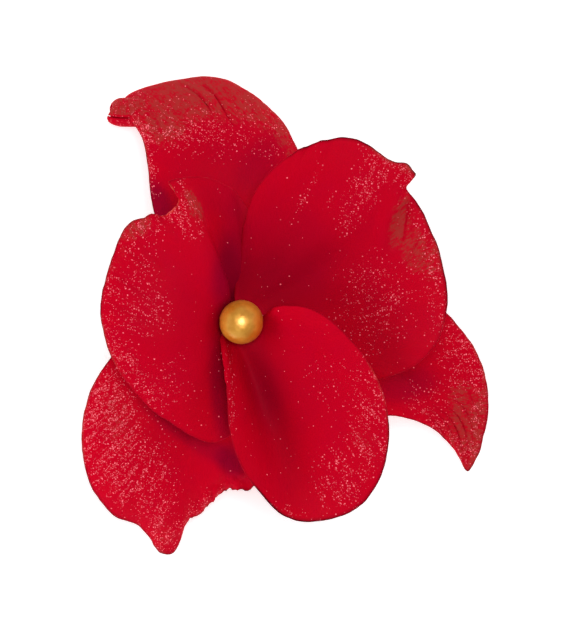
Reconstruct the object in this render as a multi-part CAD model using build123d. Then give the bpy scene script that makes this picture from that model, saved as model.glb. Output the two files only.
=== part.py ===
from build123d import *
import math
import os
from typing import NamedTuple

import numpy as np

# Flower hair clip: six clay petals in two rings round a pearl bead, on a spring-loaded
# alligator clip. Millimetres. The flower faces +Z and lies on its back on the plane z = 0.
# Everything is built round the flower's own axis, through the pearl, and moved at the end so
# that the origin is at the centre of the bounding box's base. The clip runs along X, with its
# nose at -X and its tail, where the fingers press, at +X.

FLOWER_AXIS = (-8.3, -1.3)  # where the pearl's axis stands in the finished frame

# Heights of the stack, from the surface that the clip lies on.
CLIP_TOP = 10.0  # outer face of the fixed arm, which the flower is glued to
GLUE_THICK = 0.5
FELT_THICK = 1.5
FELT_RADIUS = 15.0
CORE_FOOT_RADIUS = 8.0
CORE_FOOT_THICK = 0.6
CORE_RADIUS = 3.7  # less than the pearl's, so that the pearl hides it
CORE_TOP = 21.2

PEARL_RADIUS = 4.0
PEARL_CENTRE_Z = 23.2
PEARL_HOLE_RADIUS = 0.5

PETAL_THICK = 1.0
CLAW_RADIUS = 3.4  # the petals are drawn from an arc of this radius, then cut to the core

# Clip: two stamped arms, a rivet and a torsion spring.
SHEET = 0.8
PIVOT_X = 7.5
PIVOT_Z = 6.0
FIXED_HALF_WIDTH = 4.5
MOVING_HALF_WIDTH = 3.6
NOSE_X = -24.0
TAIL_X = 26.0
PIN_RADIUS = 1.0
PIN_CLEARANCE = 0.05
PIN_HEAD_RADIUS = 1.7
PIN_HEAD_THICK = 0.6
EAR_RADIUS = 2.4
TOOTH_PITCH = 2.0
TOOTH_HEIGHT = 1.0
TEETH = 6
WIRE_RADIUS = 0.35
COIL_RADIUS = 2.0
COIL_TURNS = 4.5
COIL_PITCH = 0.85
SPRING_LEG = 9.0
LEG_GAP = 0.06


class Spoke(NamedTuple):
    """One rib of a petal, from the claw to the point x, y, z on its margin. lift_in and
    lift_out raise the rib above its chord near the claw and near the margin, sway bends it
    sideways, and curl rolls the margin over, in degrees."""

    x: float
    y: float
    z: float
    lift_in: float = 0
    lift_out: float = 0
    sway: float = 0
    curl: float = 0


class Petal(NamedTuple):
    """claw is the arc of the claw, in degrees anticlockwise from +X, and claw_z its height."""

    claw: tuple
    claw_z: float
    spokes: list
    curl_radius: float = 2.3


PETALS = {
    "petal_inner_lower": Petal(
        claw=(205, 372),
        claw_z=19.2,
        spokes=[
            Spoke(-4.0, -4.6, 21.5),
            Spoke(-2.4, -13.0, 26.5, 2, 1),
            Spoke(-0.4, -23.4, 28.0, 0, 1),
            Spoke(4.2, -32.2, 26.5, -2, 0),
            Spoke(12.5, -35.9, 25.0, -2, 2),
            Spoke(21.6, -32.9, 25.5, -1, 4),
            Spoke(26.3, -24.0, 27.5, 0, 4),
            Spoke(26.0, -14.0, 29.5, 1, 3),
            Spoke(21.0, -4.6, 31.5, 1, 2),
            Spoke(13.0, 2.2, 31.0, 1, 2),
            Spoke(7.2, 3.0, 27.0, 1, 1),
            Spoke(4.9, 1.6, 22.0),
        ],
    ),
    "petal_inner_upper_right": Petal(
        claw=(352, 470),
        claw_z=17.6,
        spokes=[
            Spoke(13.0, -9.5, 21.5),
            Spoke(26.0, -10.2, 24.5, 1, 1),
            Spoke(34.2, -5.4, 26.5, 2, 3),
            Spoke(36.9, 3.5, 27.5, 3, 4),
            Spoke(35.2, 13.5, 28.0, 3, 5),
            Spoke(31.2, 21.2, 28.5, 3, 5),
            Spoke(30.7, 25.6, 31.5, 3, 4),
            Spoke(27.4, 27.6, 31.8, 3, 3),
            Spoke(19.8, 32.8, 30.5, 3, 3),
            Spoke(11.2, 31.4, 30.0, 2, 2),
            Spoke(3.2, 23.8, 28.5, 1, 1),
            Spoke(-0.4, 14.0, 25.0, 1, 1),
            Spoke(-1.6, 6.6, 20.5),
        ],
    ),
    "petal_inner_left": Petal(
        claw=(80, 265),
        claw_z=15.6,
        spokes=[
            Spoke(4.6, 12.0, 19.5),
            Spoke(2.0, 18.6, 22.5),
            Spoke(-3.0, 24.4, 26.0),
            Spoke(-8.8, 26.0, 29.5, 2, 2, -1),
            Spoke(-13.3, 24.8, 32.0, 7, 4, -3),
            Spoke(-13.2, 19.6, 31.5, 9, 5, -4),
            Spoke(-18.0, 18.7, 28.5, 9, 6, -3),
            Spoke(-23.4, 10.6, 26.0, 8, 6),
            Spoke(-25.4, 1.0, 25.0, 7, 5),
            Spoke(-22.6, -8.6, 24.0, 6, 4),
            Spoke(-14.0, -17.4, 21.5, 4, 3),
            Spoke(-4.0, -21.6, 19.0, 2, 2),
            Spoke(0.5, -19.0, 18.2, 1, 1),
        ],
    ),
    "petal_outer_upper_left": Petal(
        claw=(42, 160),
        claw_z=13.2,
        spokes=[
            Spoke(12.0, 17.0, 16.0, 1, 1),
            Spoke(11.0, 28.0, 13.0, 4, 4, -1),
            Spoke(8.2, 36.6, 10.5, 6, 7, -2, 20),
            Spoke(2.4, 42.0, 7.3, 8, 10, -3, 70),
            Spoke(-5.2, 44.8, 5.0, 9, 12, -5, 140),
            Spoke(-14.6, 43.6, 4.4, 9, 12, -7, 190),
            Spoke(-23.6, 40.6, 5.0, 8, 11, -9, 200),
            Spoke(-21.2, 36.2, 8.0, 7, 9, -8, 90),
            Spoke(-18.0, 30.6, 12.0, 5, 6, -5),
            Spoke(-16.6, 22.0, 14.5, 3, 3, -2),
            Spoke(-13.5, 13.0, 15.0, 1, 1),
        ],
    ),
    "petal_outer_lower_left": Petal(
        claw=(165, 284),
        claw_z=13.2,
        spokes=[
            Spoke(-16.0, 2.0, 15.5, 1, 1),
            Spoke(-22.0, -5.0, 16.5, 2, 2),
            Spoke(-27.4, -13.4, 14.5, 3, 4),
            Spoke(-28.8, -22.0, 11.5, 5, 7),
            Spoke(-25.8, -31.6, 8.0, 7, 9),
            Spoke(-18.8, -37.3, 4.5, 7, 10, -1),
            Spoke(-14.3, -43.0, 0.6, 7, 11, -2),
            Spoke(-11.2, -38.7, 3.5, 7, 10, -2),
            Spoke(-7.2, -33.2, 7.0, 6, 8, -1),
            Spoke(-2.4, -30.2, 9.0, 5, 6),
            Spoke(3.5, -28.6, 10.0, 4, 5),
            Spoke(6.0, -20.0, 11.5, 2, 3),
        ],
    ),
    "petal_outer_lower_right": Petal(
        claw=(287, 392),
        claw_z=13.2,
        spokes=[
            Spoke(9.5, -18.0, 12.8, 1, 1),
            Spoke(18.0, -19.0, 11.8, 3, 3, 1),
            Spoke(27.0, -17.2, 11.5, 4, 5, 2),
            Spoke(34.6, -19.2, 8.5, 6, 8, 6),
            Spoke(39.6, -23.8, 3.5, 7, 10, 9),
            Spoke(42.7, -27.6, 0.6, 7, 11, 11),
            Spoke(44.6, -21.2, 4.0, 7, 10, 8),
            Spoke(45.3, -12.6, 8.5, 6, 8, 5),
            Spoke(42.3, -4.2, 12.5, 5, 6, 2),
            Spoke(37.0, 2.0, 14.5, 3, 4),
            Spoke(28.0, 7.0, 15.5, 2, 2),
            Spoke(17.0, 9.0, 15.5, 1, 1),
        ],
    ),
}

# Where the two inner control points of a rib stand along its chord.
RIB_IN, RIB_OUT = 0.33, 0.72
RIBS, STATIONS = 25, 9
END_RIBS = 3  # over this many ribs the thickening turns into the end rib's plane


def smooth(knots, values, at):
    """A cubic Hermite curve through values at knots, read at the places in at."""
    step = np.diff(knots)
    secant = np.diff(values, axis=0) / step[:, None]
    slope = np.empty_like(values)
    slope[0], slope[-1] = secant[0], secant[-1]
    share = (step[:-1] / (step[:-1] + step[1:]))[:, None]
    slope[1:-1] = secant[:-1] * (1 - share) + secant[1:] * share
    i = np.clip(np.searchsorted(knots, at, side="right") - 1, 0, len(step) - 1)
    h = step[i][:, None]
    t = ((at - knots[i]) / step[i])[:, None]
    start = values[i] * (1 + 2 * t) * (1 - t) ** 2 + slope[i] * h * t * (1 - t) ** 2
    end = values[i + 1] * t**2 * (3 - 2 * t) + slope[i + 1] * h * t**2 * (t - 1)
    return start + end


def petal_grid(petal):
    """Points of the petal's middle surface, [rib][station], from the claw to the margin."""
    spokes = np.array(petal.spokes, float)
    gaps = np.linalg.norm(np.diff(spokes[:, :3], axis=0), axis=1)
    knots = np.concatenate([[0], np.cumsum(gaps)]) / gaps.sum()
    across = np.linspace(0, 1, RIBS)
    ribs = smooth(knots, spokes, across)
    margin, lift_in, lift_out, sway = ribs[:, :3], ribs[:, 3:4], ribs[:, 4:5], ribs[:, 5:6]
    angle = np.radians(petal.claw[0] + (petal.claw[1] - petal.claw[0]) * across)
    claw = np.stack(
        [CLAW_RADIUS * np.cos(angle), CLAW_RADIUS * np.sin(angle), 0 * angle + petal.claw_z], 1
    )
    chord = margin - claw
    reach = np.linalg.norm(chord[:, :2], axis=1)
    side = np.stack([-chord[:, 1] / reach, chord[:, 0] / reach, 0 * reach], 1)
    up = np.array([0, 0, 1])
    near = claw + RIB_IN * chord + lift_in * up + sway * side
    far = claw + RIB_OUT * chord + lift_out * up + sway * side
    # The margin's roll: an arc that leaves the rib's end along its tangent and turns down.
    ahead = (margin - far) / np.linalg.norm(margin - far, axis=1)[:, None]
    level = np.linalg.norm(ahead[:, :2], axis=1)
    down = np.stack(
        [ahead[:, 0] * ahead[:, 2] / level, ahead[:, 1] * ahead[:, 2] / level, -level], 1
    )
    curl = np.radians(np.clip(ribs[:, 6], 0, None))
    length = np.linalg.norm(chord, axis=1)
    flat_share = length / (length + petal.curl_radius * curl)
    grid = np.zeros((RIBS, STATIONS, 3))
    for k, t in enumerate(np.linspace(0, 1, STATIONS)):
        u = np.clip(t / flat_share, 0, 1)[:, None]
        rib = claw * (1 - u) ** 3 + 3 * near * u * (1 - u) ** 2
        rib += 3 * far * u**2 * (1 - u) + margin * u**3
        rolled = np.clip((t - flat_share) / np.maximum(1 - flat_share, 1e-9), 0, 1) * curl
        roll = np.sin(rolled)[:, None] * ahead + (1 - np.cos(rolled))[:, None] * down
        grid[:, k] = rib + petal.curl_radius * roll
    return grid


def unit(vectors):
    return vectors / np.linalg.norm(vectors, axis=-1, keepdims=True)


def petal_solid(petal):
    """The petal's middle surface given its thickness, as a loft through closed ribs, and cut
    back to the side of the core that it is pressed against."""
    grid = petal_grid(petal)
    along = unit(np.gradient(grid, axis=1))
    across = unit(np.gradient(grid, axis=0))
    # The first and last ribs are thickened in their own plane, so that they close the loft.
    side = unit(np.cross(grid[:, -1] - grid[:, 0], [0, 0, 1]))
    flat = unit(np.cross(side[:, None], along))
    inward = np.minimum(np.arange(RIBS), np.arange(RIBS)[::-1])
    share = np.clip(inward / END_RIBS, 0, 1)[:, None, None]
    normal = unit(unit(np.cross(along, across)) * share + flat * (1 - share))
    upper = grid + normal * PETAL_THICK / 2
    lower = grid - normal * PETAL_THICK / 2
    spacing = list(np.linspace(0, 1, STATIONS))
    ribs = []
    for top, bottom in zip(upper, lower):
        out = Edge.make_spline([Vector(*p) for p in bottom], parameters=spacing)
        back = Edge.make_spline([Vector(*p) for p in top[::-1]], parameters=spacing)
        margin = Edge.make_line(out @ 1, back @ 0)
        claw = Edge.make_line(back @ 1, out @ 0)
        ribs.append(Wire([out, margin, back, claw]))
    return Solid.make_loft(ribs) - Cylinder(CORE_RADIUS, 100)


def flower_core():
    """The clay button that the petals are pressed round, with a seat for the pearl."""
    foot_z = CLIP_TOP + GLUE_THICK + FELT_THICK
    foot = Pos(0, 0, foot_z) * Cylinder(
        CORE_FOOT_RADIUS, CORE_FOOT_THICK, align=(Align.CENTER, Align.CENTER, Align.MIN)
    )
    post = Pos(0, 0, foot_z) * Cylinder(
        CORE_RADIUS, CORE_TOP - foot_z, align=(Align.CENTER, Align.CENTER, Align.MIN)
    )
    seat = Pos(0, 0, PEARL_CENTRE_Z) * Sphere(PEARL_RADIUS)
    return foot + post - seat


def pearl_bead():
    """A round bead with its threading hole across, glued into the core's seat."""
    hole = Rot(0, 90, 0) * Cylinder(PEARL_HOLE_RADIUS, 2 * PEARL_RADIUS + 1)
    return Pos(0, 0, PEARL_CENTRE_Z) * (Sphere(PEARL_RADIUS) - hole)


def felt_disc():
    """The backing disc that the flower is glued to, with softened edges."""
    disc = Cylinder(FELT_RADIUS, FELT_THICK)
    disc = fillet(disc.edges().filter_by(GeomType.CIRCLE), FELT_THICK * 0.3)
    return Pos(0, 0, CLIP_TOP + GLUE_THICK + FELT_THICK / 2) * disc


def clip_glue_pad():
    """Hot-melt adhesive between the felt and the clip, squeezed out past the arm's edges."""
    width, length = 2 * FIXED_HALF_WIDTH + 2.5, 2 * FELT_RADIUS - 5
    pad = extrude(SlotOverall(length, width), GLUE_THICK)
    return Pos(0, 0, CLIP_TOP) * pad


def ear(y_inner, reach_z):
    """A cheek from the arm's sheet to the pivot, rounded about it, between y_inner and
    y_inner + SHEET. reach_z is the height of the sheet that it is folded from."""
    low, high = min(reach_z, PIVOT_Z), max(reach_z, PIVOT_Z)
    cheek = Pos(PIVOT_X, 0, (low + high) / 2) * Box(2 * EAR_RADIUS, SHEET, high - low)
    cheek += Pos(PIVOT_X, 0, PIVOT_Z) * Rot(90, 0, 0) * Cylinder(EAR_RADIUS, SHEET)
    return Pos(0, y_inner + SHEET / 2, 0) * cheek


def pin_hole(radius):
    return Pos(PIVOT_X, 0, PIVOT_Z) * Rot(90, 0, 0) * Cylinder(radius, 40)


def tooth_rail(x_start, root_z, top_z, up, y_inner):
    """A row of teeth folded up (or down) from an arm's edge between root_z and top_z."""
    step = TOOTH_HEIGHT if up else -TOOTH_HEIGHT
    outline = [(x_start, root_z), (x_start, top_z)]
    for n in range(TEETH):
        outline.append((x_start + (n + 0.5) * TOOTH_PITCH, top_z + step))
        outline.append((x_start + (n + 1) * TOOTH_PITCH, top_z))
    outline.append((x_start + TEETH * TOOTH_PITCH, root_z))
    face = Plane.XZ * make_face(Polyline(*outline, close=True))
    rail = extrude(face, SHEET, dir=(0, 1, 0))
    return Pos(0, y_inner, 0) * rail


def both_sides(shape):
    """The shape and its mirror image across the clip's length."""
    return shape + mirror(shape, Plane.XZ)


def clip_fixed_arm():
    """The upper arm: a flat tapered strip with a toothed nose and two ears for the rivet."""
    length = TAIL_X - NOSE_X
    strip = Pos(NOSE_X + length / 2, 0, CLIP_TOP - SHEET / 2) * Box(
        length, 2 * FIXED_HALF_WIDTH, SHEET
    )
    corners = strip.edges().filter_by(Axis.Z)
    strip = fillet(corners, 2.6)
    under = CLIP_TOP - SHEET
    y_inner = FIXED_HALF_WIDTH - SHEET
    arm = strip + both_sides(ear(y_inner, under))
    arm += both_sides(tooth_rail(NOSE_X + 3, under + SHEET / 2, under - 0.6, False, y_inner))
    return arm - pin_hole(PIN_RADIUS)


def moving_path():
    """Side view of the moving arm's middle line: nose, jaw, step down, heel and flat tail."""
    half = SHEET / 2
    points = [
        (NOSE_X, 7.5),
        (PIVOT_X - 18, 6.7),
        (PIVOT_X - 12, 2.8),
        (PIVOT_X - 4, 1.5),
        (PIVOT_X + 10, half),
        (TAIL_X, half),
    ]
    return FilletPolyline(*points, radius=3.0)


def clip_moving_arm():
    """The lower arm: one bent strip with toothed rails, ears for the rivet and a finger tail."""
    section = Plane.XZ * trace(moving_path(), SHEET)
    strip = extrude(section, MOVING_HALF_WIDTH, both=True)
    y_inner = MOVING_HALF_WIDTH - SHEET
    arm = strip + both_sides(ear(y_inner, 1.2))
    arm += both_sides(tooth_rail(NOSE_X + 2, 7.2, 8.1, True, y_inner))
    return arm - pin_hole(PIN_RADIUS + PIN_CLEARANCE)


def hinge_pin():
    """The rivet through all four ears, with a head outside each fixed ear."""
    shank = 2 * FIXED_HALF_WIDTH
    pin = Cylinder(PIN_RADIUS, shank)
    for end in (-1, 1):
        head = Cylinder(PIN_HEAD_RADIUS, PIN_HEAD_THICK)
        rim = head.edges().filter_by(GeomType.CIRCLE).sort_by(Axis.Z)[0 if end < 0 else -1]
        head = fillet(rim, 0.3)
        pin += Pos(0, 0, end * (shank + PIN_HEAD_THICK) / 2) * head
    return Pos(PIVOT_X, 0, PIVOT_Z) * Rot(90, 0, 0) * pin


def leg_angle(far_z, turn):
    """Where on the coil a line to the leg's far end is tangent: turn is +1 for the top."""
    return math.atan2(far_z - PIVOT_Z, SPRING_LEG) + turn * math.acos(
        COIL_RADIUS / math.hypot(SPRING_LEG, far_z - PIVOT_Z)
    )


def torsion_spring():
    """A coil round the rivet with one leg under the fixed tail and one on the moving tail."""
    top_z = CLIP_TOP - SHEET - WIRE_RADIUS - LEG_GAP
    low_z = SHEET + WIRE_RADIUS + LEG_GAP + 0.1
    a_top, a_low = leg_angle(top_z, 1), leg_angle(low_z, -1)
    turns = math.floor(COIL_TURNS) + ((a_low - a_top) % (2 * math.pi)) / (2 * math.pi)
    height = turns * COIL_PITCH
    helix = Edge.make_helix(COIL_PITCH, height, COIL_RADIUS)
    # The helix climbs its own Z. Standing it along -Y makes its turn run anticlockwise in XZ.
    stand = Pos(PIVOT_X, height / 2, PIVOT_Z) * Rot(90, 0, 0) * Rot(0, 0, math.degrees(a_top))
    helix = stand * helix
    top_leg = Edge.make_line((helix @ 0) - (helix % 0) * SPRING_LEG, helix @ 0)
    low_leg = Edge.make_line(helix @ 1, (helix @ 1) + (helix % 1) * SPRING_LEG)
    path = Wire([top_leg, helix, low_leg])
    return sweep(Plane(path @ 0, z_dir=path % 0) * Circle(WIRE_RADIUS), path=path)


def main():
    parts = {name: petal_solid(petal) for name, petal in PETALS.items()}
    parts["flower_core"] = flower_core()
    parts["pearl_bead"] = pearl_bead()
    parts["felt_disc"] = felt_disc()
    parts["clip_glue_pad"] = clip_glue_pad()
    parts["clip_fixed_arm"] = clip_fixed_arm()
    parts["clip_moving_arm"] = clip_moving_arm()
    parts["hinge_pin"] = hinge_pin()
    parts["torsion_spring"] = torsion_spring()
    os.makedirs("parts", exist_ok=True)
    for name, shape in parts.items():
        export_step(Pos(*FLOWER_AXIS, 0) * shape, f"parts/{name}.step")


main()
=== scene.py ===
import math

import bmesh
import bpy
import numpy as np
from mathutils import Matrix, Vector


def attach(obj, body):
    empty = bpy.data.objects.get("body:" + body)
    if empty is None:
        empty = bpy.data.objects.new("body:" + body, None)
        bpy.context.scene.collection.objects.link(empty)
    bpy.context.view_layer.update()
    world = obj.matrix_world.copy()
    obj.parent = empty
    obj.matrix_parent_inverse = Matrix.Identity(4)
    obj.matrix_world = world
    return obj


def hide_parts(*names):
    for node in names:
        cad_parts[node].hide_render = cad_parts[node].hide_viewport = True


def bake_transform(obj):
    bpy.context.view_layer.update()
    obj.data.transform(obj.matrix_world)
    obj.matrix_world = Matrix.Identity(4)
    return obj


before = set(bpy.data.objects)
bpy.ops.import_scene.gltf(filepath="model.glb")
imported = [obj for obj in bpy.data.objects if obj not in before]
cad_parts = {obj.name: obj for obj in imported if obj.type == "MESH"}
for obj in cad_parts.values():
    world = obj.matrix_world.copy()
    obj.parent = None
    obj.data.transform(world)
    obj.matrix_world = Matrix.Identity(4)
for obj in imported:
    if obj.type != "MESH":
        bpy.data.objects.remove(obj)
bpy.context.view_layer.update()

# Flower hair clip, lying face up. The camera, the lights and the materials are in metres, in
# the shared frame. The shapes are in millimetres and in the flower's own axes, whose origin is
# on the floor under the pearl, and put() moves them to the shared frame.
MM = 0.001
AXIS = (-8.3, -1.3)  # where the pearl's axis is in the shared frame, in millimetres
UP = np.array([0.0, 0.0, 1.0])


# ---- camera, floor and lights

def look_at(thing, target):
    direction = Vector(target) - thing.location
    thing.rotation_euler = direction.to_track_quat("-Z", "Y").to_euler()


def make_camera():
    """Straight down on the flower's face through a long lens."""
    distance, view_height = 0.9, 0.11466
    aim_x, aim_y, aim_z = -0.00038, -0.00003, 0.020
    data = bpy.data.cameras.new("camera")
    data.sensor_fit = "VERTICAL"
    data.sensor_height = 36
    data.lens = data.sensor_height * distance / view_height
    data.clip_start, data.clip_end = 0.01, 20
    camera = bpy.data.objects.new("camera", data)
    camera.location = (aim_x, aim_y, aim_z + distance)
    bpy.context.scene.collection.objects.link(camera)
    bpy.context.scene.camera = camera


def softbox(name, place, target, size, watts, mirrored=False, lights_matt=True):
    """A rectangular lamp. It shows in reflections if it is mirrored, and it lights matt
    surfaces unless lights_matt is False."""
    data = bpy.data.lights.new(name, "AREA")
    data.shape = "RECTANGLE"
    data.size, data.size_y = size
    data.energy = watts
    light = bpy.data.objects.new(name, data)
    light.location = place
    light.visible_glossy = mirrored
    light.visible_diffuse = lights_matt
    bpy.context.scene.collection.objects.link(light)
    look_at(light, target)


def make_stage():
    scene = bpy.context.scene
    scene.view_settings.view_transform = "Standard"
    scene.view_settings.look = "None"
    world = bpy.data.worlds.new("studio")
    world.use_nodes = True
    world.node_tree.nodes["Background"].inputs["Color"].default_value = (1, 1, 1, 1)
    world.node_tree.nodes["Background"].inputs["Strength"].default_value = 0.22
    scene.world = world
    middle = (0, 0, 0.02)
    softbox("key", (0.05, 0.10, 0.95), middle, (0.30, 0.30), 3.22, mirrored=True)
    # This one gives the pearl its broad highlight, and is seen in reflections only.
    softbox("pearl_box", (-0.02, -0.01, 0.98), middle, (0.6, 0.6), 4.2, mirrored=True,
            lights_matt=False)
    softbox("left_box", (-0.55, -0.05, 0.25), middle, (0.5, 0.3), 1.5)
    softbox("top_box", (0.20, 0.60, 0.30), middle, (0.6, 0.3), 0.9)
    softbox("right_box", (0.60, 0.12, 0.25), middle, (0.5, 0.3), 1.1)
    softbox("low_box", (-0.15, -0.60, 0.25), middle, (0.5, 0.3), 1.35)
    mesh = bpy.data.meshes.new("floor")
    half, floor_z = 1.5, -0.0002
    corners = [(-half, -half), (half, -half), (half, half), (-half, half)]
    mesh.from_pydata([(x, y, floor_z) for x, y in corners], [], [(0, 1, 2, 3)])
    floor = bpy.data.objects.new("floor", mesh)
    scene.collection.objects.link(floor)
    floor.data.materials.append(floor_material())


# ---- materials

OBJECT_PLACE, FACTOR, GREEN = 3, 2, 1  # which of its node's outputs is read


class Nodes:
    """Short names for the nodes that the materials below are made of."""

    def __init__(self, name):
        self.material = bpy.data.materials.new(name)
        self.material.use_nodes = True
        self.tree = self.material.node_tree
        self.shader = self.tree.nodes["Principled BSDF"]

    def add(self, kind, _out=0, **inputs):
        """A node with its settings (lower case) and inputs (by name). Returns an output."""
        node = self.tree.nodes.new(kind)
        for key, value in inputs.items():
            if key[0].islower():
                setattr(node, key, value)
            else:
                self.set(node.inputs[key.replace("_", " ")], value)
        return node.outputs[_out]

    def set(self, socket, value):
        if isinstance(value, bpy.types.NodeSocket):
            self.tree.links.new(value, socket)
        else:
            socket.default_value = value

    def shade(self, **inputs):
        for key, value in inputs.items():
            self.set(self.shader.inputs[key.replace("_", " ")], value)

    def math(self, operation, *values, clamp=False):
        node = self.tree.nodes.new("ShaderNodeMath")
        node.operation = operation
        node.use_clamp = clamp
        for socket, value in zip(node.inputs, values):
            self.set(socket, value)
        return node.outputs[0]

    def mix(self, share, a, b, blend="MIX"):
        node = self.tree.nodes.new("ShaderNodeMix")
        node.data_type = "RGBA"
        node.blend_type = blend
        sockets = [s for s in node.inputs if s.enabled]
        for socket, value in zip(sockets, (share, a, b)):
            if isinstance(value, tuple) and len(value) == 3:
                value = (*value, 1)
            self.set(socket, value)
        return [s for s in node.outputs if s.enabled][0]

    def place(self):
        return self.add("ShaderNodeTexCoord", OBJECT_PLACE)

    def attribute(self, name):
        return self.add("ShaderNodeAttribute", FACTOR, attribute_name=name)

    def stretch(self, vector, scale):
        return self.add("ShaderNodeMapping", Vector=vector, Scale=scale)

    def noise(self, vector, scale, detail=2.0, roughness=0.5):
        return self.add(
            "ShaderNodeTexNoise", Vector=vector, Scale=scale, Detail=detail, Roughness=roughness
        )

    def ramp(self, value, low, high, to_low=0.0, to_high=1.0):
        return self.add(
            "ShaderNodeMapRange",
            interpolation_type="SMOOTHSTEP",
            Value=value,
            From_Min=low,
            From_Max=high,
            To_Min=to_low,
            To_Max=to_high,
        )

    def bump(self, height, distance, strength=1.0, normal=None):
        inputs = dict(Height=height, Distance=distance, Strength=strength)
        if normal is not None:
            inputs["Normal"] = normal
        return self.add("ShaderNodeBump", **inputs)


def floor_material():
    n = Nodes("pale_floor")
    grain = n.noise(n.place(), 18.0)
    n.shade(
        Base_Color=n.mix(grain, (0.93, 0.93, 0.93), (0.97, 0.97, 0.97)),
        Roughness=0.9,
        Specular_IOR_Level=0.1,
        Emission_Color=(1, 1, 1, 1),
        Emission_Strength=0.45,
    )
    return n.material


def glitter_flecks(n, place, density):
    """Flecks in small cells, of which only some are filled, in two sizes: the cells per metre,
    the share filled at full density, the share filled everywhere, and the cells' shift."""
    flecks = None
    for scale, share, spare, shift in ((2500.0, 0.34, 0.006, 0.0), (4300.0, 0.40, 0.004, 0.4)):
        shifted = n.add("ShaderNodeMapping", Vector=place, Location=(shift, shift, shift))
        cell = n.add("ShaderNodeTexVoronoi", Vector=shifted, Scale=scale).node
        pick = n.add("ShaderNodeSeparateColor", Color=cell.outputs["Color"])
        tone = n.add("ShaderNodeSeparateColor", GREEN, Color=cell.outputs["Color"])
        chance = n.math("ADD", n.math("MULTIPLY", density, share), spare)
        chosen = n.math("LESS_THAN", pick, chance)
        size = n.ramp(cell.outputs["Distance"], 0.20, 0.46, 1.0, 0.0)
        fleck = n.math("MULTIPLY", chosen, size)
        fleck = n.math("MULTIPLY", fleck, n.ramp(tone, 0.0, 1.0, 0.25, 0.95))
        flecks = fleck if flecks is None else n.math("MAXIMUM", flecks, fleck)
    return flecks


def clay_material(name):
    """Red cold porcelain: satin, with a fine pearly glitter brushed on in patches, thickest
    at the margins. Painted into its colour are a dull sheen over parts of the margins, shade in the
    throat, in the grooves and along the margins, and highlights and glints on the glittery rims and
    flecks."""
    n = Nodes(name)
    place = n.place()
    reach = n.attribute("reach")
    rim = n.attribute("rim")
    flow = n.add("ShaderNodeUVMap", uv_map="flow")
    cloud = n.noise(place, 210.0, 3.0, 0.6)
    grit = n.noise(place, 3000.0, 2.0, 0.7)
    blotch = n.noise(place, 900.0, 3.0, 0.7)

    # Painted shade: the red darkens in listed patches, in the throat and beside the margins of the
    # petals above.
    colour = n.mix(n.ramp(n.attribute("deep"), 0.0, 1.1), (0.57, 0.0, 0.014), (0.27, 0.0, 0.020))
    colour = n.mix(n.ramp(cloud, 0.35, 0.75, 0.0, 0.20), colour, (0.44, 0.0, 0.024))
    # Painted shade in the grooves.
    colour = n.mix(n.math("MULTIPLY", n.attribute("groove"), 0.55), colour, (0.40, 0.0, 0.010))

    # Painted sheen: a dull brownish red laid over listed patches. It breaks up into grains where it
    # thins out.
    painted_sheen_amount = n.math("MULTIPLY", n.attribute("dust"), n.ramp(blotch, 0.30, 0.62, 0.45, 1.25))
    painted_sheen_amount = n.math("MULTIPLY", painted_sheen_amount, n.ramp(grit, 0.40, 0.62, 0.60, 1.25))
    dash = n.noise(n.stretch(flow, (3.4, 0.60, 1.0)), 1.0, 3.0, 0.65)
    painted_sheen_amount = n.math("MULTIPLY", painted_sheen_amount, n.ramp(dash, 0.36, 0.64, 0.40, 1.30))
    painted_sheen_amount = n.ramp(painted_sheen_amount, 0.20, 0.95)
    colour = n.mix(n.math("MULTIPLY", painted_sheen_amount, 0.62), colour, (0.37, 0.044, 0.034))

    # The glitter follows the flow lines and lies in patches. Its flecks are pink, and their brightness
    # is partly a painted glint.
    streak = n.noise(n.stretch(flow, (1.5, 0.16, 1.0)), 1.0, 2.0, 0.6)
    density = n.math("MULTIPLY", n.attribute("glitter"), n.ramp(streak, 0.40, 0.60, 0.20, 1.7))
    density = n.math("MULTIPLY", density, n.ramp(blotch, 0.35, 0.65, 0.4, 1.5))
    flecks = glitter_flecks(n, place, density)
    colour = n.mix(flecks, colour, (1.0, 0.20, 0.25))
    # Margins: painted shade along the rim, a painted highlight on it where the glitter is thick, and
    # nearly black at the very edge where a margin stands free of other petals.
    rim_painted_highlight = n.math("MULTIPLY", rim, n.ramp(n.attribute("glitter"), 0.2, 0.9, 0.0, 0.75))
    colour = n.mix(n.math("MULTIPLY", rim, 0.55), colour, (0.24, 0.0, 0.008))
    colour = n.mix(n.math("MULTIPLY", rim_painted_highlight, n.ramp(blotch, 0.3, 0.6)), colour, (0.85, 0.10, 0.07))
    colour = n.mix(n.math("MULTIPLY", n.attribute("cut"), 0.92), colour, (0.035, 0.0, 0.003))

    veins = n.noise(n.stretch(flow, (1.4, 0.10, 1.0)), 1.0, 3.0, 0.6)
    veins = n.math("MULTIPLY", veins, n.ramp(reach, 0.55, 1.0, 0.0, 1.0))
    grain = n.noise(place, 1500.0, 3.0, 0.65)
    normal = n.bump(veins, 0.00014, 0.6)
    normal = n.bump(grain, 0.00004, 0.7, normal)
    normal = n.bump(flecks, 0.00006, 0.7, normal)
    n.shade(
        Base_Color=colour,
        Roughness=n.ramp(grain, 0.3, 0.7, 0.50, 0.64),
        Specular_IOR_Level=0.02,
        Subsurface_Weight=0.05,
        Subsurface_Radius=(0.0022, 0.0004, 0.0005),
        Subsurface_Scale=1.0,
        # A painted glint: the glitter flecks glow faintly pink.
        Emission_Color=(1.0, 0.20, 0.28, 1.0),
        Emission_Strength=n.math("MULTIPLY", flecks, 0.26),
        Normal=normal,
    )
    return n.material


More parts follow.
